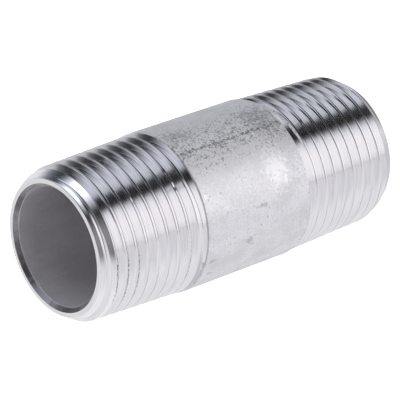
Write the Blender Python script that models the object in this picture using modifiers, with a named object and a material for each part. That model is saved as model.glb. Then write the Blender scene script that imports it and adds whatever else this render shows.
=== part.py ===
"""A 3/8 inch barrel nipple: a short stainless pipe with a taper thread on each end.

The pipe stands on its lower end face, with its axis on +Z and the origin in the middle of
that face. Lengths below are in millimetres, angles in degrees. Both ends are the same
right-hand 55 degree taper thread, and only the place where the cut starts differs.
"""

import math

import bmesh
import bpy

MM = 0.001

# The pipe that the nipple is turned from
PIPE_DIAMETER = 17.2
WALL_THICKNESS = 2.3
NIPPLE_LENGTH = 40.0

# Each end: the pipe is turned down to a slim cone, with a low shoulder where the cone stops
TURNED_LENGTH = 13.0
SHOULDER_STEP = 0.094
TAPER_ON_DIAMETER = 1 / 16
RIM_WIDTH = 0.5
MOUTH_CHAMFER = 0.45
END_CHAMFER_ANGLE = 30.0

# The thread: nineteen turns to the inch, its triangle cut off by a sixth at crest and root
THREADS_PER_INCH = 19
THREAD_ANGLE = 55.0
TRUNCATION = 1 / 6
RUN_OUT_TURNS = 0.4
LOWER_THREAD_START = 176.0
UPPER_THREAD_START = 64.0

# How finely the surfaces are divided and joined
SEGMENTS = 48
SHORTEST_EDGE = 0.03
WELD_DISTANCE = 0.01
LAP_ON_BARREL = 1.0
HALVINGS = 40
SHARP_ANGLE = 30.0

STEEL_COLOUR = (0.74, 0.73, 0.73, 1.0)
STEEL_ROUGHNESS = 0.28

# Worked out from the sizes above
PIPE_RADIUS = PIPE_DIAMETER / 2
BORE_RADIUS = PIPE_RADIUS - WALL_THICKNESS
MOUTH_RADIUS = BORE_RADIUS + MOUTH_CHAMFER
RIM_RADIUS = MOUTH_RADIUS + RIM_WIDTH
CONE_SLOPE = TAPER_ON_DIAMETER / 2
CONE_END_RADIUS = PIPE_RADIUS - SHOULDER_STEP
CONE_START_RADIUS = CONE_END_RADIUS - TURNED_LENGTH * CONE_SLOPE
CHAMFER_SLOPE = math.tan(math.radians(END_CHAMFER_ANGLE))
PITCH = 25.4 / THREADS_PER_INCH
TRIANGLE_HEIGHT = PITCH / (2 * math.tan(math.radians(THREAD_ANGLE / 2)))
THREAD_DEPTH = TRIANGLE_HEIGHT * (1 - 2 * TRUNCATION)
FLANK_SLOPE = 1 / math.tan(math.radians(THREAD_ANGLE / 2))
ROOT_HALF_WIDTH = PITCH * TRUNCATION / 2


def blank_corners():
    """Corners of one turned end before threading, as (distance from the end face, radius)."""
    chamfer_length = (CONE_START_RADIUS - RIM_RADIUS) / (CHAMFER_SLOPE - CONE_SLOPE)
    shoulder_start = TURNED_LENGTH - SHOULDER_STEP
    return {
        "rim": (0.0, RIM_RADIUS),
        "chamfer": (chamfer_length, CONE_START_RADIUS + chamfer_length * CONE_SLOPE),
        "cone end": (shoulder_start, CONE_START_RADIUS + shoulder_start * CONE_SLOPE),
        "shoulder": (TURNED_LENGTH, PIPE_RADIUS),
    }


def blank_radius(depth, corners):
    """Radius of the unthreaded end at a distance from its face."""
    points = list(corners.values())
    for (d0, r0), (d1, r1) in zip(points, points[1:]):
        if depth <= d1:
            return r0 + (r1 - r0) * (depth - d0) / (d1 - d0)
    return PIPE_RADIUS


def groove_at(centre):
    """The threading tool's cut with its root centred at this distance from the end face."""
    left_to_go = (TURNED_LENGTH - centre) / (RUN_OUT_TURNS * PITCH)
    cut_depth = THREAD_DEPTH * min(1.0, max(0.0, left_to_go))
    root_radius = CONE_START_RADIUS + centre * CONE_SLOPE - cut_depth
    draw_out = SHOULDER_STEP * max(0.0, 1.0 - left_to_go)

    def radius(depth):
        beside_root = max(0.0, abs(depth - centre) - ROOT_HALF_WIDTH)
        along_cone = (depth - centre) * CONE_SLOPE
        return root_radius + draw_out + along_cone + beside_root * FLANK_SLOPE

    return radius


def crossing(inside, outside, gap):
    """Depth between the two where gap, the metal that the cut takes off, falls to nothing."""
    for _ in range(HALVINGS):
        middle = (inside + outside) / 2
        if gap(middle) > 0:
            inside = middle
        else:
            outside = middle
    return inside


def groove_edges(number, centre, cut, corners):
    """Labelled edges of one groove as {label: distance from the face}, empty if it cuts nothing."""
    def taken_off(depth):
        return blank_radius(depth, corners) - cut(depth)

    roots = {"root near": centre - ROOT_HALF_WIDTH, "root far": centre + ROOT_HALF_WIDTH}
    deepest = max(roots.values(), key=taken_off)
    if taken_off(deepest) < SHORTEST_EDGE:
        return {}
    near = crossing(deepest, deepest - PITCH, taken_off)
    far = crossing(deepest, deepest + PITCH, taken_off)
    if far < SHORTEST_EDGE:
        return {}
    edges = {"edge near": near, **roots, "edge far": far}
    return {(name, number): depth for name, depth in edges.items() if near <= depth <= far}


def threaded_section(turn):
    """Outer half-section of a threaded end, as (label, distance from the face, radius).

    turn is the angle from the start of the thread as a fraction of a turn, so groove number k
    lies k + turn pitches in from the face. A label names the same edge all the way round.
    """
    corners = blank_corners()
    points = []
    grooves = []
    for number in range(-1, int(TURNED_LENGTH / PITCH) + 1):
        centre = (number + turn) * PITCH
        if centre >= TURNED_LENGTH:
            continue
        cut = groove_at(centre)
        edges = groove_edges(number, centre, cut, corners)
        if edges:
            grooves.append((min(edges.values()), max(edges.values()), cut))
            points += [(label, depth, cut(depth)) for label, depth in edges.items() if depth > 0]
    for label, (depth, radius) in corners.items():
        cuts = [cut for near, far, cut in grooves if near < depth < far]
        if not cuts:
            points.append((label, depth, radius))
        elif label == "rim":
            points.append((label, depth, min(radius, cuts[0](depth))))
    points.sort(key=lambda point: point[1])

    kept = [("mouth", 0.0, MOUTH_RADIUS), points[0]]
    for point in points[1:]:
        if math.dist(point[1:], kept[-1][1:]) >= SHORTEST_EDGE:
            kept.append(point)
    kept.append(("barrel", TURNED_LENGTH + LAP_ON_BARREL, PIPE_RADIUS))
    return kept


def renumbered(column, turns_passed):
    """The column with its grooves numbered as they were before the start was passed."""
    return [
        ((label[0], label[1] - turns_passed) if isinstance(label, tuple) else label, depth, vert)
        for label, depth, vert in column
    ]


def zip_columns(bm, first, second):
    """Fill the strip between two neighbouring half-sections, edge by edge."""
    first_labels = {label for label, _, _ in first}
    second_labels = {label for label, _, _ in second}
    i = j = 0
    while i < len(first) - 1 or j < len(second) - 1:
        next_first = first[min(i + 1, len(first) - 1)]
        next_second = second[min(j + 1, len(second) - 1)]
        step_first = step_second = next_first[0] == next_second[0]
        if not step_first:
            lost = next_first[0] not in second_labels
            found = next_second[0] not in first_labels
            step_first = lost if lost != found else next_first[1] <= next_second[1]
            step_second = not step_first
        corners = [first[i][2]]
        if step_first:
            i += 1
            corners.append(first[i][2])
        if step_second:
            j += 1
            corners.append(second[j][2])
            corners.append(second[j - 1][2])
        else:
            corners.append(second[j][2])
        bm.faces.new(corners)


def add_thread(bm, start_angle, upper):
    """Loft one threaded end from its half-sections all the way round the pipe.

    The section changes with the angle: the groove climbs out of the chamfer and is drawn out
    near the shoulder. A right-hand groove moves up as the angle grows, which is away from the
    face at the lower end and towards it at the upper end.
    """
    columns = []
    for step in range(SEGMENTS):
        angle = 360.0 * step / SEGMENTS
        gained = start_angle - angle if upper else angle - start_angle
        turn = (gained / 360.0) % 1.0
        column = []
        for label, depth, radius in threaded_section(turn):
            x = radius * math.cos(math.radians(angle))
            y = radius * math.sin(math.radians(angle))
            z = NIPPLE_LENGTH - depth if upper else depth
            column.append((label, depth, bm.verts.new((x * MM, y * MM, z * MM))))
        columns.append((turn, column))
    for (turn, column), (next_turn, next_column) in zip(columns, columns[1:] + columns[:1]):
        zip_columns(bm, column, renumbered(next_column, round(turn - next_turn)))


def turned_skin(name, profile):
    """Spin an open profile of (radius, height) points about the pipe's axis."""
    mesh = bpy.data.meshes.new(name)
    edges = [(i, i + 1) for i in range(len(profile) - 1)]
    mesh.from_pydata([(r * MM, 0.0, z * MM) for r, z in profile], edges, [])
    spun = bpy.data.objects.new(name, mesh)
    bpy.context.scene.collection.objects.link(spun)
    screw = spun.modifiers.new("Turn", "SCREW")
    screw.axis = "Z"
    screw.angle = math.tau
    screw.steps = SEGMENTS
    screw.render_steps = SEGMENTS
    screw.use_merge_vertices = True
    screw.merge_threshold = WELD_DISTANCE * MM
    depsgraph = bpy.context.evaluated_depsgraph_get()
    skin = bpy.data.meshes.new_from_object(spun.evaluated_get(depsgraph))
    bpy.data.objects.remove(spun)
    return skin


def bore_profile():
    """The bore and its two mouth chamfers, from the upper mouth down to the lower one."""
    return [
        (MOUTH_RADIUS, NIPPLE_LENGTH),
        (BORE_RADIUS, NIPPLE_LENGTH - MOUTH_CHAMFER),
        (BORE_RADIUS, MOUTH_CHAMFER),
        (MOUTH_RADIUS, 0.0),
    ]


def barrel_profile():
    """The plain outside of the pipe between the two threaded ends."""
    lap = TURNED_LENGTH + LAP_ON_BARREL
    return [(PIPE_RADIUS, NIPPLE_LENGTH - lap), (PIPE_RADIUS, lap)]


def stainless_steel():
    material = bpy.data.materials.new("stainless_steel")
    material.use_nodes = True
    shader = material.node_tree.nodes["Principled BSDF"]
    shader.inputs["Base Color"].default_value = STEEL_COLOUR
    shader.inputs["Metallic"].default_value = 1.0
    shader.inputs["Roughness"].default_value = STEEL_ROUGHNESS
    return material


def build_nipple(collection):
    """One solid: plain turned skins and two lofted threads, sewn together at their circles."""
    bm = bmesh.new()
    for name, profile in (("bore", bore_profile()), ("barrel", barrel_profile())):
        skin = turned_skin(name, profile)
        bm.from_mesh(skin)
        bpy.data.meshes.remove(skin)
    add_thread(bm, LOWER_THREAD_START, upper=False)
    add_thread(bm, UPPER_THREAD_START, upper=True)
    bmesh.ops.remove_doubles(bm, verts=bm.verts, dist=WELD_DISTANCE * MM)
    bmesh.ops.recalc_face_normals(bm, faces=bm.faces)
    mesh = bpy.data.meshes.new("pipe_nipple")
    bm.to_mesh(mesh)
    bm.free()
    mesh.materials.append(stainless_steel())
    mesh.shade_smooth()
    mesh.set_sharp_from_angle(angle=math.radians(SHARP_ANGLE))
    nipple = bpy.data.objects.new("pipe_nipple", mesh)
    collection.objects.link(nipple)
    return nipple


def main():
    for old in list(bpy.data.objects):
        bpy.data.objects.remove(old)
    collection = bpy.data.collections.new("Pipe nipple")
    bpy.context.scene.collection.children.link(collection)
    build_nipple(collection)


main()
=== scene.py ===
# %% [markdown]
# # A stainless steel barrel nipple
# The object is a short pipe with a taper thread cut on each end. It was made in three steps:
# a length of welded pipe was pickled to a dull grey, both ends were turned down to a slim cone
# with a chamfer, and a chaser cut the threads, which left them bright. This file makes the
# visible surface and its finishes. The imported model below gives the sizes.

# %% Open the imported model
import math
import random

import bmesh
import bpy
from mathutils import Matrix, Vector
from mathutils.kdtree import KDTree


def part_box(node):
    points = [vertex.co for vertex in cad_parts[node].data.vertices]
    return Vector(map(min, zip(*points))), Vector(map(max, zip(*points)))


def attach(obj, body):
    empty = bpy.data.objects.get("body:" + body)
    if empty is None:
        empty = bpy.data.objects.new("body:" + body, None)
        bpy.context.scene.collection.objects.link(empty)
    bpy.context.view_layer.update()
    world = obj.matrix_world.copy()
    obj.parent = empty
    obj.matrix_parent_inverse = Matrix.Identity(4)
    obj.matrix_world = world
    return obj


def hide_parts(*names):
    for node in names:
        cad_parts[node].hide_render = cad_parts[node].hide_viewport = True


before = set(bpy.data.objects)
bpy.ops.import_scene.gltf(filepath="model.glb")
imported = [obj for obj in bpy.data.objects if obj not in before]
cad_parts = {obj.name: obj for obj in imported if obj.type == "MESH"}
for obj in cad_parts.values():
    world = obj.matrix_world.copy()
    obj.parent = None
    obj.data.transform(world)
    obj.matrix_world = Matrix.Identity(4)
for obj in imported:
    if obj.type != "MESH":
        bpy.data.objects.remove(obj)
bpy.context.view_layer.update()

# %% [markdown]
# ## Sizes
# The outside sizes come from the solid, so the skin can't grow or shrink. The rest are the
# sizes of a three eighths inch taper thread in millimetres: nineteen turns to the inch, a
# 55 degree form and a cone that grows by one in sixteen. A sixth of the sharp form is cut off
# at crest and root, so two thirds of its height are left. Depth along the pipe always means
# the distance in from the nearest end face, so one description serves both ends.

# %% Sizes in millimetres
MM = 0.001
low_corner, high_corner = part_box("pipe_nipple")
LENGTH = (high_corner[2] - low_corner[2]) / MM
PIPE_RADIUS = (high_corner[0] - low_corner[0]) / 2 / MM
WALL_THICKNESS = 2.3
BORE_RADIUS = PIPE_RADIUS - WALL_THICKNESS
MOUTH_CHAMFER = 0.45
RIM_WIDTH = 0.5
TURNED_LENGTH = 13.0
SHOULDER_STEP = 0.094
CONE_SLOPE = 1 / 32
END_CHAMFER_ANGLE = 30
END_CHAMFER_SLOPE = math.tan(math.radians(END_CHAMFER_ANGLE))

INCH = 25.4
THREADS_PER_INCH = 19
THREAD_ANGLE = 55
PITCH = INCH / THREADS_PER_INCH
FLANK_SLOPE = 1 / math.tan(math.radians(THREAD_ANGLE / 2))
SHARP_HEIGHT = PITCH / 2 * FLANK_SLOPE
THREAD_DEPTH = SHARP_HEIGHT * 2 / 3
ROOT_HALF_WIDTH = PITCH / 12
RUN_OUT_TURNS = 0.4
LOWER_START = 176.0
UPPER_START = 64.0

MOUTH_RADIUS = BORE_RADIUS + MOUTH_CHAMFER
RIM_RADIUS = MOUTH_RADIUS + RIM_WIDTH
CONE_START_RADIUS = PIPE_RADIUS - SHOULDER_STEP - TURNED_LENGTH * CONE_SLOPE
print(f"pipe {2 * PIPE_RADIUS:.1f} mm across, {LENGTH:.1f} mm long, thread {THREAD_DEPTH:.3f} mm deep")

# %% [markdown]
# ## The blank
# Before threading, each end is a turned blank: a flat rim, a 30 degree chamfer, a long slim
# cone, and a low shoulder where the lathe tool stopped. A list of corners is the whole
# drawing, and the radius between two corners is a straight line.

# %% The turned blank
LAP = 1.0


def blank_corners():
    """Corners of a turned end, as (depth, radius) in millimetres."""
    chamfer = (CONE_START_RADIUS - RIM_RADIUS) / (END_CHAMFER_SLOPE - CONE_SLOPE)
    cone_end = TURNED_LENGTH - SHOULDER_STEP
    return [
        (0.0, RIM_RADIUS),
        (chamfer, CONE_START_RADIUS + chamfer * CONE_SLOPE),
        (cone_end, CONE_START_RADIUS + cone_end * CONE_SLOPE),
        (TURNED_LENGTH, PIPE_RADIUS),
        (TURNED_LENGTH + LAP, PIPE_RADIUS),
    ]


def blank_radius(depth):
    """Radius of the turned end before threading."""
    corners = blank_corners()
    for (d0, r0), (d1, r1) in zip(corners, corners[1:]):
        if depth <= d1:
            return r0 + (r1 - r0) * (depth - d0) / (d1 - d0)
    return PIPE_RADIUS


print("blank corners:", [(round(d, 2), round(r, 2)) for d, r in blank_corners()])

# %% [markdown]
# ## The groove
# A thread could be a modifier: a small profile screwed upwards. That gives an endless helix,
# but not one that climbs out of a chamfer, follows a cone and fades at a shoulder. So the
# groove is a rule instead: given where its root lies, it says how much metal stays at any
# depth. The chaser bites less where it enters, so the first stretch of the groove is
# shallower. Near the shoulder it is lifted, so the cut gets shallow again and stops.

# %% One cut of the chaser
LEAD_IN_RISE = 0.36
LEAD_IN_LENGTH = 1.15
HALVINGS = 40


def cut_radius(centre, depth):
    """Radius that a groove with its root at depth centre leaves at another depth."""
    left_to_go = (TURNED_LENGTH - centre) / (RUN_OUT_TURNS * PITCH)
    cut_depth = THREAD_DEPTH * min(1.0, max(0.0, left_to_go))
    draw_out = SHOULDER_STEP * max(0.0, 1.0 - left_to_go)
    lead_in = LEAD_IN_RISE * max(0.0, 1.0 - centre / LEAD_IN_LENGTH)
    beside_root = max(0.0, abs(depth - centre) - ROOT_HALF_WIDTH)
    root = CONE_START_RADIUS + depth * CONE_SLOPE - cut_depth
    return root + draw_out + lead_in + beside_root * FLANK_SLOPE


def cut_edge(centre, side):
    """Depth where one flank of a groove comes out of the blank, or None if it cuts nothing."""
    inside = centre + ROOT_HALF_WIDTH
    outside = centre + side * PITCH
    if cut_radius(centre, inside) >= blank_radius(inside):
        return None
    for _ in range(HALVINGS):
        middle = (inside + outside) / 2
        if cut_radius(centre, middle) < blank_radius(middle):
            inside = middle
        else:
            outside = middle
    return inside


print(f"a full groove opens {cut_edge(5.0, 1) - cut_edge(5.0, -1):.2f} mm wide at the cone")

# %% [markdown]
# ## The section
# Cut the pipe along its axis and look at one wall: that outline is the section. It differs at
# every angle, because the grooves move along the pipe by one pitch in a turn. Each corner of
# it also gets a rounding: a chaser's worn nose leaves round roots, the crests stay nearly
# sharp, and the rim's outer corner was broken with a file.

# %% The section at one angle
CLOSEST_POINTS = 0.012
ROOT_ROUNDING = 0.11
CREST_ROUNDING = 0.055
RIM_ROUNDING = 0.12
EDGE_ROUNDING = 0.04


def sharp_section(turn):
    """One threaded wall a fraction of a turn past the start, as (depth, radius, rounding)."""
    last_groove = int(TURNED_LENGTH / PITCH) + 1
    centres = [(k + turn) * PITCH for k in range(-1, last_groove)]
    centres = [centre for centre in centres if centre < TURNED_LENGTH]
    corners = {depth: EDGE_ROUNDING for depth, _ in blank_corners()}
    corners[0.0] = RIM_ROUNDING
    for centre in centres:
        edges = [cut_edge(centre, side) for side in (-1, 1)]
        if None not in edges:
            corners.update({edge: CREST_ROUNDING for edge in edges})
            corners.update({centre + side * ROOT_HALF_WIDTH: ROOT_ROUNDING for side in (-1, 1)})
    points = [(0.0, (MOUTH_RADIUS + RIM_RADIUS) / 2, 0.0)]
    for depth in sorted(depth for depth in corners if depth >= 0.0):
        radius = min([blank_radius(depth)] + [cut_radius(centre, depth) for centre in centres])
        if math.dist((depth, radius), points[-1][:2]) > CLOSEST_POINTS:
            points.append((depth, radius, corners[depth]))
    return points


print(len(sharp_section(0.3)), "corners in the section")

# %% [markdown]
# ## Rounding the corners
# A bend is drawn the way a draughtsman threads a curve between two lines: walk along both at
# once and keep to the point between the two walkers. Two mixes inside a mix do exactly that,
# and the curve leaves both lines without a kink.

# %% Rounding the corners
FINE_BEND = 2
SOFT_BEND = 4
LONGEST_SHARE = 0.45
STRAIGHT_ENOUGH = math.radians(5)


def mix(first, second, share):
    """The point a share of the way from the first point to the second."""
    return tuple(a + (b - a) * share for a, b in zip(first, second))


def bend(before, corner, after):
    """The corner as a few points on a curve that touches both of its lines."""
    arriving = (corner[0] - before[0], corner[1] - before[1])
    leaving = (after[0] - corner[0], after[1] - corner[1])
    across = arriving[0] * leaving[1] - arriving[1] * leaving[0]
    along = arriving[0] * leaving[0] + arriving[1] * leaving[1]
    if abs(math.atan2(across, along)) < STRAIGHT_ENOUGH:
        return [corner[:2]]
    start = mix(corner, before, min(corner[2] / math.hypot(*arriving), LONGEST_SHARE))
    end = mix(corner, after, min(corner[2] / math.hypot(*leaving), LONGEST_SHARE))
    steps = FINE_BEND if corner[2] <= EDGE_ROUNDING else SOFT_BEND
    shares = [step / steps for step in range(steps + 1)]
    return [mix(mix(start, corner, s), mix(corner, end, s), s)[:2] for s in shares]


def rounded(points):
    """The outline with every corner bent."""
    outline = [points[0][:2]]
    for before, corner, after in zip(points, points[1:], points[2:]):
        outline += bend(before, corner, after)
    return outline + [points[-1][:2]]


print(len(rounded(sharp_section(0.3))), "points once its corners are rounded")

# %% [markdown]
# ## The threaded ends
# The sections are set round the axis like the pages of a fanned book, and each is stitched to
# the next. Neighbouring sections are nearly alike but may differ by a point where a groove
# starts or ends. The stitch walks down both outlines together: points at about the same
# depth are joined by a square, and a point with no partner gets a triangle.

# %% Stitching the sections
SEGMENTS = 216
ANGLES = [360.0 * step / SEGMENTS for step in range(SEGMENTS)]
SAME_DEPTH = 0.013


def on_pipe(radius, degrees, height):
    """A place round the pipe's axis, in metres, from its radius and height in millimetres."""
    angle = math.radians(degrees)
    return Vector((radius * math.cos(angle), radius * math.sin(angle), height)) * MM


def turn_at(start, degrees, upper):
    """Fraction of a turn past a thread's start. Both grooves are right-hand."""
    return ((start - degrees if upper else degrees - start) / 360.0) % 1.0


def height_at(depth, upper):
    """Height above the foot of the pipe, from the depth in from one of its ends."""
    return LENGTH - depth if upper else depth


def stitch(bm, first, second):
    """Fill the strip between two neighbouring outlines of (depth, vertex)."""
    i = j = 0
    while i < len(first) - 1 or j < len(second) - 1:
        depth_first = first[i + 1][0] if i < len(first) - 1 else math.inf
        depth_second = second[j + 1][0] if j < len(second) - 1 else math.inf
        together = abs(depth_first - depth_second) < SAME_DEPTH
        corners = [first[i][1]]
        if together or depth_first < depth_second:
            i += 1
            corners.append(first[i][1])
        if together or depth_second <= depth_first:
            corners += [second[j + 1][1], second[j][1]]
            j += 1
        else:
            corners.append(second[j][1])
        bm.faces.new(corners)


def add_threaded_end(bm, start, upper):
    """One threaded end, as a fan of sections stitched to each other."""
    outlines = []
    for degrees in ANGLES:
        outline = []
        for depth, radius in rounded(sharp_section(turn_at(start, degrees, upper))):
            place = on_pipe(radius, degrees, height_at(depth, upper))
            outline.append((depth, bm.verts.new(place)))
        outlines.append(outline)
    for first, second in zip(outlines, outlines[1:] + outlines[:1]):
        stitch(bm, first, second)


skin = bmesh.new()
add_threaded_end(skin, LOWER_START, upper=False)
add_threaded_end(skin, UPPER_START, upper=True)
print("threaded ends:", len(skin.faces), "faces")

# %% [markdown]
# ## The bore and the barrel
# These two are plain turned shapes: one outline is repeated round the axis as rings of
# vertices, in as many steps as the threads have, so that the rings meet the threaded ends
# vertex for vertex. The bore reaches over its mouth chamfer to the middle of the rim.

# %% The plain turned stretches
WELD_DISTANCE = 0.004
BARREL_RINGS = 24


def add_turned(bm, outline):
    """Turn an outline of (depth from the top, radius) round the axis."""
    columns = []
    for degrees in ANGLES:
        columns.append([bm.verts.new(on_pipe(r, degrees, LENGTH - d)) for d, r in outline])
    for left, right in zip(columns, columns[1:] + columns[:1]):
        for k in range(len(outline) - 1):
            bm.faces.new((left[k], left[k + 1], right[k + 1], right[k]))


mouth = rounded([
    (0.0, (MOUTH_RADIUS + RIM_RADIUS) / 2, 0.0),
    (0.0, MOUTH_RADIUS, EDGE_ROUNDING),
    (MOUTH_CHAMFER, BORE_RADIUS, EDGE_ROUNDING),
    (LENGTH / 2, BORE_RADIUS, 0.0),
])
add_turned(skin, mouth + [(LENGTH - depth, radius) for depth, radius in reversed(mouth[:-1])])
barrel_start = TURNED_LENGTH + LAP
barrel_length = LENGTH - 2 * barrel_start
add_turned(skin, [(barrel_start + barrel_length * k / BARREL_RINGS, PIPE_RADIUS)
                  for k in range(BARREL_RINGS + 1)])
bmesh.ops.remove_doubles(skin, verts=skin.verts, dist=WELD_DISTANCE * MM)
bmesh.ops.recalc_face_normals(skin, faces=skin.faces)
open_edges = sum(1 for edge in skin.edges if len(edge.link_faces) != 2)
triangles = sum(len(face.verts) - 2 for face in skin.faces)
print("whole skin:", triangles, "triangles,", open_edges, "open edges")

# %% [markdown]
# ## Which metal is where
# The object is one piece, but its skin was finished four ways, and each face is told which
# one it has: the pickled bore, the reamed mouth, the bright turned ends, or the pickled
# barrel. The border between two finishes is always a real edge of the shape.

# %% Four finishes on one skin
BORE, MOUTH, BRIGHT, BARREL = range(4)


def finish_at(place):
    """The finish of a face with its middle at this place."""
    radius = math.hypot(place.x, place.y) / MM
    depth = min(place.z / MM, LENGTH - place.z / MM)
    if depth > EDGE_ROUNDING and radius < BORE_RADIUS + EDGE_ROUNDING / 2:
        return BORE
    if depth > EDGE_ROUNDING / 4 and radius < MOUTH_RADIUS:
        return MOUTH
    if depth > TURNED_LENGTH - SHOULDER_STEP / 2:
        return BARREL
    return BRIGHT


for face in skin.faces:
    face.material_index = finish_at(face.calc_center_median())
counts = [sum(1 for face in skin.faces if face.material_index == k) for k in range(4)]
print("faces of bore, mouth, bright ends and barrel:", counts)

# %% [markdown]
# ## Nicks
# Threads that have rolled about in a bin with others carry small nicks on their crests. They
# could be painted with a bump, but a nick is a real dent and shows on the outline. So the
# vertices near each chosen spot are pushed inwards, most in the middle and not at all at the
# edge. The dice are seeded, so every run gives the same nicks.

# %% Nicks on the crests
dice = random.Random(19)
NICKS_ON_EACH_END = 42
LAST_NICKED_CREST = 7
NICK_REACH = (0.18, 0.40)
NICK_DEPTH = (0.03, 0.10)


def crest_depth(start, upper, degrees, groove):
    """Depth of the crest past a groove at an angle, half a pitch further in."""
    return (groove + turn_at(start, degrees, upper) + 0.5) * PITCH


def dent(tree, place, reach, push):
    """Push the vertices within reach of a place towards the axis."""
    for found, index, distance in tree.find_range(place, reach * MM):
        inwards = Vector((-found.x, -found.y, 0.0)).normalized()
        share = (1.0 - distance / (reach * MM)) ** 2
        skin.verts[index].co += inwards * push * share * MM


skin.verts.ensure_lookup_table()
near = KDTree(len(skin.verts))
for vert in skin.verts:
    near.insert(vert.co, vert.index)
near.balance()
for start, upper in ((LOWER_START, False), (UPPER_START, True)):
    for _ in range(NICKS_ON_EACH_END):
        degrees = dice.uniform(0.0, 360.0)
        depth = crest_depth(start, upper, degrees, dice.randint(0, LAST_NICKED_CREST))
        place = on_pipe(blank_radius(depth), degrees, height_at(depth, upper))
        dent(near, place, dice.uniform(*NICK_REACH), dice.uniform(*NICK_DEPTH))
print(2 * NICKS_ON_EACH_END, "nicks on the crests")

# %% [markdown]
# ## The piece
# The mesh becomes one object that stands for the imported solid. A flank is a wide flat strip
# between two narrow bends. Plain smooth shading would bulge it like a pillow, and a mirror
# shows that at once. So each vertex takes its normal mostly from its widest faces, by the
# square of their areas, and only the bends curve.

# %% Turn the mesh into the piece
bmesh.ops.recalc_face_normals(skin, faces=skin.faces)
vertex_normals = [Vector() for _ in skin.verts]
for face in skin.faces:
    pull = face.normal * (face.calc_area() / MM ** 2) ** 2
    for vert in face.verts:
        vertex_normals[vert.index] += pull
skin_mesh = bpy.data.meshes.new("nipple_skin")
skin.to_mesh(skin_mesh)
skin.free()
skin_mesh.shade_smooth()
vertex_normals = [normal.normalized() for normal in vertex_normals]
skin_mesh.normals_split_custom_set_from_vertices(vertex_normals)
nipple = bpy.data.objects.new("nipple_skin", skin_mesh)
bpy.context.scene.collection.objects.link(nipple)
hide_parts("pipe_nipple")
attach(nipple, "root")
print("one piece with", len(skin_mesh.polygons), "faces")

# %% [markdown]
# ## Shorthand for shader nodes
# A material is a small graph. These helpers add one node and join it up in a line: an input
# is given by its name, as a plain value or as the output of another node. A node group is a
# graph with a name of its own, which several materials can share.

# %% Shorthand for shader nodes
def add_node(tree, kind, settings=None, **inputs):
    """Add a node. An input is named by its socket, or as n and its number."""
    node = tree.nodes.new(kind)
    for name, value in (settings or {}).items():
        setattr(node, name, value)
    for name, value in inputs.items():
        key = int(name[1:]) if name[0] == "n" and name[1:].isdigit() else name.replace("_", " ")
        if isinstance(value, bpy.types.NodeSocket):
            tree.links.new(value, node.inputs[key])
        else:
            node.inputs[key].default_value = value
    return node


def calc(tree, operation, *values):
    """A Math node's result."""
    inputs = {f"n{k}": value for k, value in enumerate(values)}
    return add_node(tree, "ShaderNodeMath", {"operation": operation}, **inputs).outputs[0]


def between(tree, value, low, high, to_low=0.0, to_high=1.0):
    """A value carried over from one range to another, with soft ends."""
    node = add_node(tree, "ShaderNodeMapRange", {"interpolation_type": "SMOOTHSTEP"}, Value=value,
                    From_Min=low, From_Max=high, To_Min=to_low, To_Max=to_high)
    return node.outputs["Result"]


def blend_colours(tree, share, first, second):
    """Two colours mixed by a mask."""
    node = add_node(tree, "ShaderNodeMix", {"data_type": "RGBA"}, n0=share, n6=first, n7=second)
    return node.outputs[2]


def new_group(name, inputs, outputs):
    """An empty node group with float sockets, as (group, its inputs, its output node)."""
    group = bpy.data.node_groups.new(name, "ShaderNodeTree")
    for socket_name, value in inputs.items():
        socket = group.interface.new_socket(socket_name, in_out="INPUT", socket_type="NodeSocketFloat")
        socket.default_value = value
    for socket_name in outputs:
        group.interface.new_socket(socket_name, in_out="OUTPUT", socket_type="NodeSocketFloat")
    return group, group.nodes.new("NodeGroupInput").outputs, group.nodes.new("NodeGroupOutput")


def place_group(tree, group, **inputs):
    """A group's outputs, placed in a tree with its own values."""
    return add_node(tree, "ShaderNodeGroup", {"node_tree": group}, **inputs).outputs


print("helpers ready")

# %% [markdown]
# ## Where on the pipe
# Every finish here follows the way the pipe was made: marks run round it, dirt lies in the
# roots, a weld seam runs along it. So the first group turns a plain place into workshop
# terms. Arc is the way round, Along the height, Depth the distance to the nearest end,
# Radius and Height say how far out it is and how far above the thread's root, and Across
# grows as one steps sideways over the tool marks. The back of the pipe is where Arc jumps.

# %% Group: where on the pipe
WHERE_OUTPUTS = ("Arc", "Along", "Depth", "Radius", "Height", "Across")
where, _, where_out = new_group("Where on the pipe", {}, WHERE_OUTPUTS)
local = add_node(where, "ShaderNodeTexCoord").outputs["Object"]
in_mm = add_node(where, "ShaderNodeVectorMath", {"operation": "SCALE"}, Vector=local, Scale=1 / MM)
x, y, z = add_node(where, "ShaderNodeSeparateXYZ", Vector=in_mm.outputs[0]).outputs
turns = calc(where, "DIVIDE", calc(where, "ARCTAN2", calc(where, "MULTIPLY", x, -1.0),
                                   calc(where, "MULTIPLY", y, -1.0)), math.tau)
radius = calc(where, "SQRT", calc(where, "ADD", calc(where, "MULTIPLY", x, x),
                                  calc(where, "MULTIPLY", y, y)))
is_upper = calc(where, "GREATER_THAN", z, LENGTH / 2)
depth = calc(where, "MINIMUM", z, calc(where, "SUBTRACT", LENGTH, z))
upper_turn = calc(where, "ADD", turns, (UPPER_START + 90) / 360)
lower_turn = calc(where, "SUBTRACT", -(LOWER_START + 90) / 360, turns)
turn = calc(where, "ADD", lower_turn, calc(where, "MULTIPLY", is_upper,
                                           calc(where, "SUBTRACT", upper_turn, lower_turn)))
root_radius = calc(where, "MULTIPLY_ADD", depth, CONE_SLOPE, CONE_START_RADIUS - THREAD_DEPTH)
across = calc(where, "SUBTRACT", calc(where, "ADD", depth, radius),
              calc(where, "MULTIPLY", turn, PITCH))
arc = calc(where, "MULTIPLY", turns, math.tau * PIPE_RADIUS)
height = calc(where, "SUBTRACT", radius, root_radius)
for name, value in zip(WHERE_OUTPUTS, (arc, z, depth, radius, height, across)):
    where.links.new(value, where_out.inputs[name])
print("group:", where.name, "with", len(where.nodes), "nodes")

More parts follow.
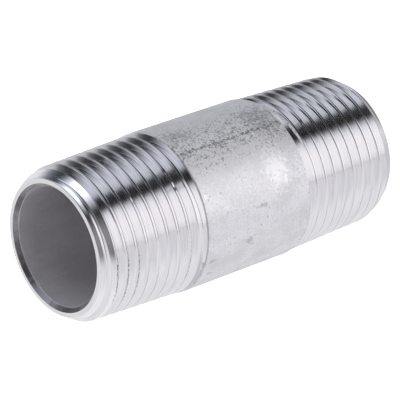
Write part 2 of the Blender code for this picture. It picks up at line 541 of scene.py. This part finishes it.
# %% [markdown]
# ## Grain
# Tool marks, rolling marks and scratches are all the same thing to the eye: noise that is
# drawn out in one direction. One group serves them all. It takes two of the workshop
# distances and how many marks there are to a millimetre of each.

# %% Group: drawn grain
grain, grain_in, grain_out = new_group(
    "Drawn grain", {"First": 0.0, "Second": 0.0, "Per mm of first": 10.0, "Per mm of second": 0.2,
                    "Detail": 3.0, "Seed": 0.0}, ("Grain",))
drawn = add_node(grain, "ShaderNodeCombineXYZ",
                 X=calc(grain, "MULTIPLY", grain_in["First"], grain_in["Per mm of first"]),
                 Y=calc(grain, "MULTIPLY", grain_in["Second"], grain_in["Per mm of second"]),
                 Z=grain_in["Seed"])
grain_noise = add_node(grain, "ShaderNodeTexNoise", Vector=drawn.outputs[0], Scale=1.0,
                       Detail=grain_in["Detail"], Roughness=0.6)
grain.links.new(grain_noise.outputs[0], grain_out.inputs["Grain"])


def grain_on(tree, at, first, second, per_mm, detail=3.0, seed=0.0):
    """Grain over two named distances, with the marks per mm of each."""
    return place_group(tree, grain, First=at[first], Second=at[second], Per_mm_of_first=per_mm[0],
                       Per_mm_of_second=per_mm[1], Detail=detail, Seed=seed)["Grain"]


print("group:", grain.name)

# %% [markdown]
# ## Spots
# Pits, stains, swarf in a root and bare patches are spots: places where a noise rises above
# a level. The level may come from another mask, so the same group gives a stain that is
# dense near the weld and thin away from it.

# %% Group: spots
spots, spots_in, spots_out = new_group(
    "Spots", {"First": 0.0, "Second": 0.0, "Per mm of first": 3.0, "Per mm of second": 3.0,
              "Level": 0.6, "Softness": 0.05, "Seed": 0.0}, ("Mask",))
spots_per_mm = (spots_in["Per mm of first"], spots_in["Per mm of second"])
spotted = grain_on(spots, spots_in, "First", "Second", spots_per_mm, 4.0, spots_in["Seed"])
spot_mask = between(spots, spotted, spots_in["Level"],
                    calc(spots, "ADD", spots_in["Level"], spots_in["Softness"]))
spots.links.new(spot_mask, spots_out.inputs["Mask"])


def spots_on(tree, at, first, second, per_mm, level, softness=0.10, seed=0.0):
    """Spots over two named distances: how many per mm, from which level, how soft."""
    return place_group(tree, spots, First=at[first], Second=at[second], Per_mm_of_first=per_mm[0],
                       Per_mm_of_second=per_mm[1], Level=level, Softness=softness, Seed=seed)["Mask"]


print("group:", spots.name)

# %% [markdown]
# ## The bright turned ends: tool marks
# Freshly cut stainless steel is a mirror with scratches. The scratches follow the cut round
# the pipe, and faint chatter crosses them. The chamfer was cut by a blunter tool, so it is
# softer. Two helpers serve all four finishes: one makes a metal, and one joins a height to
# its bump.

# %% Bright turned steel: tool marks
def new_steel(name):
    """A metal material, as (material, its tree, its shader)."""
    material = bpy.data.materials.new(name)
    material.use_nodes = True
    shader = material.node_tree.nodes["Principled BSDF"]
    shader.inputs["Metallic"].default_value = 1.0
    return material, material.node_tree, shader


def bump(tree, shader, height, distance):
    """Join a height to the shader's normal, with the height of one step in millimetres."""
    node = add_node(tree, "ShaderNodeBump", Height=height, Distance=distance * MM, Strength=1.0)
    tree.links.new(node.outputs[0], shader.inputs["Normal"])


bright, tree, shader = new_steel("Bright turned steel")
at = place_group(tree, where)
marks = grain_on(tree, at, "Across", "Arc", (11.0, 0.12))
chatter = grain_on(tree, at, "Across", "Arc", (0.8, 7.0), detail=2.0, seed=4.0)
on_chamfer = between(tree, at["Depth"], 0.6, 1.5, 1.0, 0.0)
print("tool marks made with", len(tree.nodes), "nodes")

# %% [markdown]
# ## The bright turned ends: dirt in the roots
# Old cutting oil and swarf stay as fine dots in the roots. The photo shows them on the lower
# side of the upper end, in its first turns and its last one, so the mask is a product: in a
# root, in those turns, on that side, and where the swarf's own spots are. Further round, the
# dots also climb a little way up the flank.

# %% Bright turned steel: dirt in the roots
dirt_line = calc(tree, "SUBTRACT", at["Height"], between(tree, at["Arc"], 5.0, 11.0, 0.0, 0.22))
in_root = calc(tree, "MULTIPLY", between(tree, dirt_line, 0.06, 0.16, 1.0, 0.0),
               between(tree, at["Depth"], 1.2, 1.5))
first_turns = between(tree, at["Depth"], 4.6, 6.0, 1.0, 0.0)
last_turn = between(tree, at["Depth"], 11.2, 12.0, 0.0, 0.9)
low_side = calc(tree, "MULTIPLY", between(tree, at["Arc"], 2.4, 5.0),
                between(tree, at["Arc"], 13.5, 16.5, 1.0, 0.0))
upper_end = calc(tree, "GREATER_THAN", at["Along"], LENGTH / 2)
oily_turns = calc(tree, "MULTIPLY", calc(tree, "MAXIMUM", first_turns, last_turn), upper_end)
oily = calc(tree, "MULTIPLY", oily_turns, low_side)
swarf = spots_on(tree, at, "Arc", "Across", (5.5, 5.5), level=0.475, softness=0.05, seed=9.0)
grime = calc(tree, "MULTIPLY", calc(tree, "MULTIPLY", in_root, oily), swarf)
print("dirt in the roots: now", len(tree.nodes), "nodes")

# %% [markdown]
# ## The bright turned ends: shader
# The colour stays nearly white: the roughness and a bump of one micron do the work, as on the
# real metal. A deep scratch is a little darker and rougher than the polish between two, and
# dirt is both dark and dull.

# %% Bright turned steel: the shader
SCRATCHED = (0.87, 0.87, 0.875, 1)
POLISHED = (0.955, 0.955, 0.96, 1)
OLD_OIL = (0.08, 0.075, 0.07, 1)
polish = blend_colours(tree, between(tree, marks, 0.38, 0.62), SCRATCHED, POLISHED)
tree.links.new(blend_colours(tree, grime, polish, OLD_OIL), shader.inputs["Base Color"])
smooth = calc(tree, "MULTIPLY_ADD", on_chamfer, 0.09, between(tree, marks, 0.36, 0.64, 0.05, 0.11))
tree.links.new(calc(tree, "MULTIPLY_ADD", grime, 0.3, smooth), shader.inputs["Roughness"])
bump(tree, shader, calc(tree, "MULTIPLY_ADD", chatter, 0.25, marks), 0.0010)
print("bright steel has", len(tree.nodes), "nodes")

# %% [markdown]
# ## Patches
# Some marks aren't scattered: they lie at one place. A patch is an oval there, with an edge
# that noise has frayed. The group measures how far a point is from the middle of the oval, in
# ovals, and adds the noise before it decides. A helper lays several patches as one mask.

# %% Group: one frayed patch
patch, patch_in, patch_out = new_group(
    "Frayed patch", {"Arc": 0.0, "Along": 0.0, "Middle arc": 0.0, "Middle along": 20.0,
                     "Half arc": 1.0, "Half along": 1.0, "Fray": 1.0, "Grains per mm": 1.5}, ("Mask",))
off_arc = calc(patch, "DIVIDE", calc(patch, "SUBTRACT", patch_in["Arc"], patch_in["Middle arc"]),
               patch_in["Half arc"])
off_along = calc(patch, "DIVIDE",
                 calc(patch, "SUBTRACT", patch_in["Along"], patch_in["Middle along"]),
                 patch_in["Half along"])
ovals = calc(patch, "SQRT", calc(patch, "MULTIPLY_ADD", off_arc, off_arc,
                                 calc(patch, "MULTIPLY", off_along, off_along)))
frayed = grain_on(patch, patch_in, "Arc", "Along", (patch_in["Grains per mm"],) * 2, 5.0, 3.5)
edge = calc(patch, "MULTIPLY_ADD", calc(patch, "SUBTRACT", frayed, 0.5), patch_in["Fray"], ovals)
patch.links.new(between(patch, edge, 0.35, 1.15, 1.0, 0.0), patch_out.inputs["Mask"])


def patches_at(tree, at, places):
    """One mask of patches, each (arc, along, half arc, half along, fray, grains per mm)."""
    mask = 0.0
    for arc, along, half_arc, half_along, fray, grains in places:
        spot = place_group(tree, patch, Arc=at["Arc"], Along=at["Along"], Middle_arc=arc,
                           Middle_along=along, Half_arc=half_arc, Half_along=half_along, Fray=fray,
                           Grains_per_mm=grains)["Mask"]
        mask = calc(tree, "MAXIMUM", mask, spot)
    return mask


print("group:", patch.name)

# %% [markdown]
# ## The reamed mouth
# The small chamfer inside the rim was made by a hand reamer that chattered. It is the
# darkest metal on the piece: its surface is torn, so it is rough, and it isn't torn evenly.
# Some stretches are cleaner and some hold more dirt, so both are patches on the ring. The
# marks run round the mouth.

# %% Reamed mouth
RING_HEIGHT = 39.8
CLEAN_PLACES = ((21.6, 3.6), (7.5, 3.4), (-9.2, 4.0))
FOUL_PLACES = ((14.8, 2.6), (-18.3, 2.0))
TORN_DARK = (0.26, 0.25, 0.255, 1)
TORN_LIGHT = (0.34, 0.33, 0.34, 1)
CLEAN_METAL = (0.55, 0.54, 0.56, 1)
FOUL_METAL = (0.17, 0.165, 0.17, 1)


def over_the_ring(places):
    """Patches as wide as the ring itself, each from (arc, half arc)."""
    return [(arc, RING_HEIGHT, half_arc, 3.0, 2.0, 0.9) for arc, half_arc in places]


reamed, tree, shader = new_steel("Reamed mouth")
at = place_group(tree, where)
marks = grain_on(tree, at, "Across", "Arc", (8.0, 0.15), seed=2.0)
torn = grain_on(tree, at, "Arc", "Along", (0.9, 1.5), seed=6.0)
mouth_skin = blend_colours(tree, between(tree, torn, 0.40, 0.60), TORN_DARK, TORN_LIGHT)
clean = patches_at(tree, at, over_the_ring(CLEAN_PLACES))
foul = patches_at(tree, at, over_the_ring(FOUL_PLACES))
cleaned_and_painted_light = blend_colours(tree, clean, mouth_skin, CLEAN_METAL)
tree.links.new(blend_colours(tree, foul, cleaned_and_painted_light, FOUL_METAL), shader.inputs["Base Color"])
tree.links.new(between(tree, marks, 0.35, 0.65, 0.30, 0.45), shader.inputs["Roughness"])
bump(tree, shader, marks, 0.008)
print("reamed mouth has", len(tree.nodes), "nodes")

# %% [markdown]
# ## The pickled bore
# Inside, the pipe is as the pickling bath left it: matt, a little cloudy, and with fine dark
# pits. It takes the same acid as the outside, but nothing has rubbed it since, so its bump
# is finer and its colour more even. Painted shade greys the colour deeper in from each end,
# and painted light lightens one side of the bore towards white.

# %% Pickled bore
WHITE = (1.0, 1.0, 1.0, 1)
BORE_DARK = (0.86, 0.85, 0.86, 1)
BORE_LIGHT = (0.96, 0.95, 0.96, 1)
DEEP_SHADE_GREY = (0.52, 0.51, 0.53, 1)
PIT_GREY = (0.35, 0.34, 0.35, 1)

bored, tree, shader = new_steel("Pickled bore")
at = place_group(tree, where)
matt = grain_on(tree, at, "Arc", "Along", (9.0, 9.0), detail=4.0, seed=1.0)
clouds = grain_on(tree, at, "Arc", "Along", (0.5, 0.3), seed=3.0)
bore_pits = spots_on(tree, at, "Arc", "Along", (4.0, 3.5), level=0.58, softness=0.07, seed=14.0)
shade = calc(tree, "ADD", calc(tree, "MULTIPLY", matt, 0.5), calc(tree, "MULTIPLY", clouds, 0.5))
bore_skin = blend_colours(tree, between(tree, shade, 0.40, 0.60), BORE_DARK, BORE_LIGHT)
# Painted shade: the colour turns greyer deeper in from each end of the bore.
painted_deep_shade = between(tree, at["Depth"], 0.5, 11.0, 0.0, 0.42)
with_painted_shade = blend_colours(tree, painted_deep_shade, bore_skin, DEEP_SHADE_GREY)
# Painted light: one side of the bore is lightened towards white.
painted_light_side = calc(tree, "MULTIPLY", between(tree, at["Arc"], 6.0, 14.0, 0.0, 0.75),
                  between(tree, at["Arc"], 17.0, 24.0, 1.0, 0.0))
cleaned_and_painted_light = blend_colours(tree, painted_light_side, with_painted_shade, WHITE)
pitted = blend_colours(tree, calc(tree, "MULTIPLY", bore_pits, 0.22), cleaned_and_painted_light, PIT_GREY)
tree.links.new(pitted, shader.inputs["Base Color"])
tree.links.new(between(tree, matt, 0.35, 0.65, 0.5, 0.66), shader.inputs["Roughness"])
bump(tree, shader, matt, 0.006)
print("pickled bore has", len(tree.nodes), "nodes")

# %% [markdown]
# ## The pickled barrel: skin
# The middle was never machined. Acid took off the mill scale and left a matt, finely pitted
# grey that sends light every way, so it isn't wholly a metal's mirror. Two grains make it: a
# fine one for the matt, and slow clouds for where the acid stood longer.

# %% Pickled barrel: the skin
pickled, tree, shader = new_steel("Pickled barrel")
shader.inputs["Metallic"].default_value = 0.62
shader.inputs["Specular IOR Level"].default_value = 0.15
shader.inputs["Specular Tint"].default_value = (0.75, 0.75, 0.76, 1)
at = place_group(tree, where)
matt = grain_on(tree, at, "Arc", "Along", (6.0, 5.0), detail=5.0, seed=1.0)
clouds = grain_on(tree, at, "Arc", "Along", (0.45, 0.35), detail=4.0, seed=2.0)
print("barrel skin started with", len(tree.nodes), "nodes")

# %% [markdown]
# ## The pickled barrel: weld and stains
# A thin line of pits marks the weld, and it wanders a little. Fine pickling stains gather on
# both sides of it and thicken towards the upper end. A stain is a spot above a level, so the
# level does the gathering: the weld's neighbourhood lowers it, and clouds and clusters raise
# and lower it further. Large and small stains share one level.

# %% Pickled barrel: weld and stains
SEAM_ARC = -32.6 / 360 * math.tau * PIPE_RADIUS
wander = grain_on(tree, at, "Along", "Depth", (0.9, 0.0), detail=5.0, seed=5.0)
beside_seam = calc(tree, "ADD", calc(tree, "SUBTRACT", at["Arc"], SEAM_ARC),
                   calc(tree, "MULTIPLY_ADD", wander, 0.9, -0.45))
by_seam = calc(tree, "MULTIPLY", between(tree, beside_seam, -6.2, -0.8),
               between(tree, beside_seam, 0.3, 4.0, 1.0, 0.0))
far_end = between(tree, at["Along"], 14.0, 18.5, 1.0, 0.84)
clusters = grain_on(tree, at, "Arc", "Along", (1.7, 1.1), detail=2.0, seed=23.0)
thin_level = calc(tree, "SUBTRACT", between(tree, clouds, 0.40, 0.60, 0.660, 0.610),
                  calc(tree, "MULTIPLY", calc(tree, "MULTIPLY", by_seam, far_end), 0.128))
stain_level = calc(tree, "ADD", thin_level, between(tree, clusters, 0.38, 0.62, 0.035, -0.035))
large_stains = spots_on(tree, at, "Arc", "Along", (4.2, 3.4), level=stain_level, seed=8.0)
small_stains = spots_on(tree, at, "Arc", "Along", (7.5, 5.0), level=stain_level, seed=21.0)
stains = calc(tree, "MAXIMUM", large_stains, small_stains)
seam_pits = spots_on(tree, at, "Arc", "Along", (6.0, 3.0), level=0.45, seed=11.0)
seam_line = between(tree, calc(tree, "ABSOLUTE", beside_seam), 0.04, 0.26, 1.0, 0.0)
seam = calc(tree, "MULTIPLY", seam_line, seam_pits)
print("weld and stains: now", len(tree.nodes), "nodes")

# %% [markdown]
# ## The pickled barrel: pale and rubbed places
# From the weld to the middle the skin is paler towards the upper end. Here and there it was
# rubbed bright, and handling left smears. The patches are given in millimetres round and
# along the pipe, so they can be moved one by one, and a strip of small flecks joins them.

# %% Pickled barrel: pale and rubbed places
RUBBED_PLACES = (
    (-0.3, 16.8, 2.1, 1.6, 4.5, 2.8),
    (0.2, 26.5, 0.35, 0.30, 2.4, 3.0),
)
SMEARED_PLACES = (
    (3.0, 19.5, 0.30, 0.80, 4.0, 3.0),
    (6.4, 21.2, 0.60, 0.70, 4.0, 2.4),
    (7.4, 26.0, 0.30, 0.60, 3.2, 2.6),
    (9.4, 25.8, 0.25, 0.50, 3.2, 2.6),
    (-6.4, 15.4, 1.80, 2.00, 6.0, 2.4),
    (-7.6, 25.4, 1.10, 1.40, 6.0, 2.4),
)
pale_strip = calc(tree, "MULTIPLY", between(tree, at["Arc"], -7.6, -5.4),
                  between(tree, at["Arc"], 0.6, 3.0, 1.0, 0.0))
pale_side = calc(tree, "MULTIPLY", pale_strip, between(tree, at["Along"], 14.5, 18.0, 0.0, 0.36))
middle_strip = calc(tree, "MULTIPLY", between(tree, at["Arc"], -2.5, -0.5),
                    between(tree, at["Arc"], 1.0, 4.5, 1.0, 0.0))
flecks = spots_on(tree, at, "Arc", "Along", (2.8, 2.8), level=0.50, seed=17.0)
rubbed = calc(tree, "MAXIMUM", patches_at(tree, at, RUBBED_PLACES),
              calc(tree, "MULTIPLY", calc(tree, "MULTIPLY", flecks, middle_strip), 0.45))
smears = patches_at(tree, at, SMEARED_PLACES)
print("pale and rubbed places: now", len(tree.nodes), "nodes")

# %% [markdown]
# ## The pickled barrel: shader
# The masks are laid over one another in the order in which things happened to the pipe: the
# pickled skin with its pale side first, then the veil of stain round the weld, rubbing, the
# stain's own specks, the weld's pits, and last the smears of handling. Stains and pits are
# also sunk into the bump, and what was rubbed is a little smoother.

# %% Pickled barrel: the shader
PICKLED_DARK = (0.69, 0.69, 0.705, 1)
PICKLED_LIGHT = (0.83, 0.83, 0.85, 1)
VEIL_GREY = (0.52, 0.52, 0.535, 1)
STAIN_GREY = (0.14, 0.138, 0.14, 1)
WELD_GREY = (0.15, 0.15, 0.16, 1)
SMEAR_GREY = (0.30, 0.30, 0.32, 1)
skin_tone = calc(tree, "MULTIPLY_ADD", clouds, 0.45, calc(tree, "MULTIPLY", matt, 0.55))
skin_colour = blend_colours(tree, between(tree, skin_tone, 0.41, 0.59), PICKLED_DARK, PICKLED_LIGHT)
veil = calc(tree, "MULTIPLY", by_seam, between(tree, clouds, 0.40, 0.60, 0.0, 0.08))
layers = (
    (pale_side, 1.0, WHITE), (veil, 1.0, VEIL_GREY), (rubbed, 0.88, WHITE),
    (stains, 0.72, STAIN_GREY), (seam, 0.9, WELD_GREY), (smears, 0.45, SMEAR_GREY),
)
colour = skin_colour
for mask, strength, layer_colour in layers:
    colour = blend_colours(tree, calc(tree, "MULTIPLY", mask, strength), colour, layer_colour)
tree.links.new(colour, shader.inputs["Base Color"])
dull = between(tree, matt, 0.35, 0.65, 0.46, 0.57)
tree.links.new(calc(tree, "MULTIPLY_ADD", rubbed, -0.10, dull), shader.inputs["Roughness"])
sunk = calc(tree, "MULTIPLY", calc(tree, "MAXIMUM", stains, seam), 0.6)
bump(tree, shader, calc(tree, "SUBTRACT", matt, sunk), 0.014)
for finish in (bored, reamed, bright, pickled):
    skin_mesh.materials.append(finish)
print("finishes:", [material.name for material in skin_mesh.materials])

# %% [markdown]
# ## The studio
# Metal has no look of its own, it shows the room. The room here is a soft box, a white card,
# a table and the dark gaps between them, all seen as bands round the pipe. Lamps and cards
# could be built one by one, but a world that gives a brightness for every direction says the
# same in fewer words. Five ramps run round the pipe, one above another, each from behind
# (-180 degrees) by the front (0) to behind again. Beside each stands where the band below
# gives way to it, as the height of a direction of length one.

# %% The studio: five bands of light
FLOOR_BAND = [
    (-180, 0.80), (-168, 0.70), (-156, 0.50), (-144, 0.39), (-132, 0.33), (-120, 0.29),
    (-108, 0.30), (-96, 0.22), (-84, 0.16), (-72, 0.10), (-60, 0.06), (-48, 0.03),
    (-37, 0.02), (-32, 0.07), (-28, 0.36), (-24, 0.68), (-18, 0.90), (-10, 0.99), (0, 1.02),
    (24, 0.99), (34.5, 0.84), (35.5, 0.60), (36.5, 0.79), (50, 0.77), (72, 0.75),
    (84, 0.64), (96, 0.57), (144, 0.57), (160, 0.66), (180, 0.76),
]
LOW_BAND = [
    (-180, 0.76), (-150, 0.84), (-137, 0.80), (-129, 0.50), (-121, 0.20),
    (-113, 0.09), (-104, 0.03), (-97, 0.10), (-91, 0.26), (-84, 0.44), (-76, 0.62),
    (-66, 0.70), (-55, 0.56), (-52, 0.37), (-49, 0.17), (-46, 0.05), (-40, 0.03), (-33, 0.02),
    (-28, 0.14), (-23, 0.50), (-17, 0.82), (-10, 0.98), (0, 1.04), (23, 0.99),
    (34.5, 0.78), (35.5, 0.54), (36.5, 0.77), (66, 0.78), (86, 0.90), (140, 0.90),
    (160, 0.82), (180, 0.76),
]
MIDDLE_BAND = [
    (-180, 0.75), (-150, 0.70), (-128, 0.32), (-116, 0.30), (-108, 0.40), (-100, 0.80),
    (-92, 1.1), (-82, 1.6), (-66, 1.6), (-56, 1.2), (-50, 0.86), (-44, 0.52), (-38, 0.27),
    (-33, 0.08), (-27, 0.03), (-20, 0.07), (-12, 0.15), (0, 0.25), (12, 0.26), (24, 0.22),
    (34, 0.21), (40, 0.42), (44, 0.58), (50, 0.72), (62, 0.78), (140, 0.79), (180, 0.75),
]
HIGH_BAND = [
    (-180, 0.75), (-165, 0.73), (-152, 0.78), (-146, 0.72), (-141, 0.46), (-137, 0.16),
    (-132, 0.05), (-128, 0.04), (-124.5, 0.16), (-120, 0.40), (-116, 0.54), (-108, 0.54),
    (-100, 0.40), (-90, 0.28), (-66, 0.24), (-50, 0.16), (-38, 0.06), (-22, 0.08), (-12, 0.14),
    (0, 0.20), (36.5, 0.24), (48, 0.72), (62, 0.78), (140, 0.79), (180, 0.75),
]
ZENITH_BAND = [
    (-180, 0.60), (-130, 0.60), (-112, 0.62), (-108, 0.60), (-106, 0.44), (-104, 0.22),
    (-102, 0.07), (-98, 0.02), (-86, 0.02), (-74, 0.04), (-64, 0.08), (-30, 0.16),
    (0, 0.24), (50, 0.40), (80, 0.60), (90, 0.70), (112, 0.80), (180, 0.82),
]
LEVELS = (
    (FLOOR_BAND, None), (LOW_BAND, (-0.53, -0.45)), (MIDDLE_BAND, (0.12, 0.28)),
    (HIGH_BAND, (0.46, 0.56)), (ZENITH_BAND, (0.80, 0.87)),
)
COOL_DARKS = [
    (-180, (1.0, 0.985, 1.01)), (-140, (0.98, 0.98, 1.04)), (-125, (0.955, 0.975, 1.09)),
    (-80, (0.94, 0.975, 1.11)), (-50, (0.95, 0.975, 1.10)), (-30, (0.98, 0.98, 1.06)),
    (0, (1.015, 0.98, 1.025)), (25, (1.01, 0.98, 1.03)), (60, (0.995, 0.985, 1.04)),
    (180, (1.0, 0.985, 1.01)),
]
print("light:", sum(len(band) for band, _ in LEVELS), "stops in", len(LEVELS), "bands")

# %% [markdown]
# ## Lighting the world
# The bearing of a direction picks a place on each ramp, and its height blends one ramp into
# the next. A last ramp tints the dark side a little blue, as daylight from a window does. The
# backdrop that the camera itself sees stays plain white.

# %% The studio: the world
world = bpy.data.worlds.new("Studio")
bpy.context.scene.world = world
world.use_nodes = True
tree = world.node_tree
tree.nodes.clear()
direction = add_node(tree, "ShaderNodeTexCoord").outputs["Generated"]
x, y, z = add_node(tree, "ShaderNodeSeparateXYZ", Vector=direction).outputs
bearing = calc(tree, "ARCTAN2", calc(tree, "MULTIPLY", x, -1.0), calc(tree, "MULTIPLY", y, -1.0))
round_the_pipe = calc(tree, "MULTIPLY_ADD", bearing, 1 / math.tau, 0.5)


def band_ramp(tree, position, stops):
    """A colour ramp from stops of (bearing in degrees, grey or colour)."""
    node = add_node(tree, "ShaderNodeValToRGB", Fac=position)
    elements = node.color_ramp.elements
    while len(elements) > 1:
        elements.remove(elements[-1])
    for index, (degrees, light) in enumerate(stops):
        element = elements[0] if index == 0 else elements.new(degrees / 360 + 0.5)
        element.position = degrees / 360 + 0.5
        colour = light if isinstance(light, tuple) else (light, light, light)
        element.color = (*colour, 1.0)
    return node.outputs["Color"]


room = None
for band, heights in LEVELS:
    ramp = band_ramp(tree, round_the_pipe, band)
    room = ramp if room is None else blend_colours(tree, between(tree, z, *heights), room, ramp)
tint = band_ramp(tree, round_the_pipe, COOL_DARKS)
tinted = add_node(tree, "ShaderNodeMix", {"data_type": "RGBA", "blend_type": "MULTIPLY"},
                  n0=1.0, n6=room, n7=tint)
studio = add_node(tree, "ShaderNodeBackground", Color=tinted.outputs[2], Strength=1.0)
plain = add_node(tree, "ShaderNodeBackground", Color=(1, 1, 1, 1), Strength=1.0)
path = add_node(tree, "ShaderNodeLightPath")
choose = add_node(tree, "ShaderNodeMixShader", n0=path.outputs["Is Camera Ray"],
                  n1=studio.outputs[0], n2=plain.outputs[0])
add_node(tree, "ShaderNodeOutputWorld", Surface=choose.outputs[0])
print("world has", len(tree.nodes), "nodes")

# %% [markdown]
# ## The floor
# The photo was cut out on white, so the floor is a plain white table that glows as brightly
# as the backdrop: no line shows where they meet. It lies under the standing pipe, and it is
# left out of reflections, because the floor band of the studio already says what the metal
# sees below.

# %% The floor
TABLE_HALF_SIZE = 2.0
floor_mesh = bpy.data.meshes.new("floor")
floor_bm = bmesh.new()
bmesh.ops.create_grid(floor_bm, x_segments=1, y_segments=1, size=TABLE_HALF_SIZE)
floor_bm.to_mesh(floor_mesh)
floor_bm.free()
floor = bpy.data.objects.new("floor", floor_mesh)
bpy.context.scene.collection.objects.link(floor)
floor.location.z = low_corner[2]
floor.visible_glossy = False
floor_material = bpy.data.materials.new("White table")
floor_material.use_nodes = True
floor_shader = floor_material.node_tree.nodes["Principled BSDF"]
floor_shader.inputs["Base Color"].default_value = (0.9, 0.9, 0.9, 1.0)
floor_shader.inputs["Roughness"].default_value = 0.9
floor_shader.inputs["Emission Color"].default_value = (1, 1, 1, 1)
floor_shader.inputs["Emission Strength"].default_value = 1.0
floor_mesh.materials.append(floor_material)
print("floor at height", round(floor.location.z / MM, 3), "mm")

# %% [markdown]
# ## The camera
# The camera was fitted to the photo: the ends and the barrel's edges give its direction and
# distance, and the pitch of the thread its scale. The pipe stands on its end in this scene,
# and in the photo it lies, so the camera is rolled onto its side and looks down at the upper
# end.

# %% The camera
LENS = 256.91
FILM_WIDTH = 36.0
CAMERA_PLACE = Vector((0.0, -236.65, 199.57)) * MM
CAMERA_RIGHT = Vector((-0.3328031, -0.5687496, -0.7521741))
CAMERA_FORWARD = Vector((-0.0010155, 0.7978584, -0.6028441))
camera = bpy.data.objects.new("camera", bpy.data.cameras.new("camera"))
bpy.context.scene.collection.objects.link(camera)
camera.data.lens = LENS
camera.data.sensor_width = FILM_WIDTH
camera.data.clip_start = 0.01
camera_up = CAMERA_RIGHT.cross(CAMERA_FORWARD)
camera_turn = Matrix((CAMERA_RIGHT, camera_up, -CAMERA_FORWARD)).transposed().to_4x4()
camera.matrix_world = Matrix.Translation(CAMERA_PLACE) @ camera_turn
bpy.context.scene.camera = camera
bpy.context.scene.view_settings.view_transform = "Standard"
print("camera is", round(CAMERA_PLACE.length / MM), "mm from the foot of the pipe")
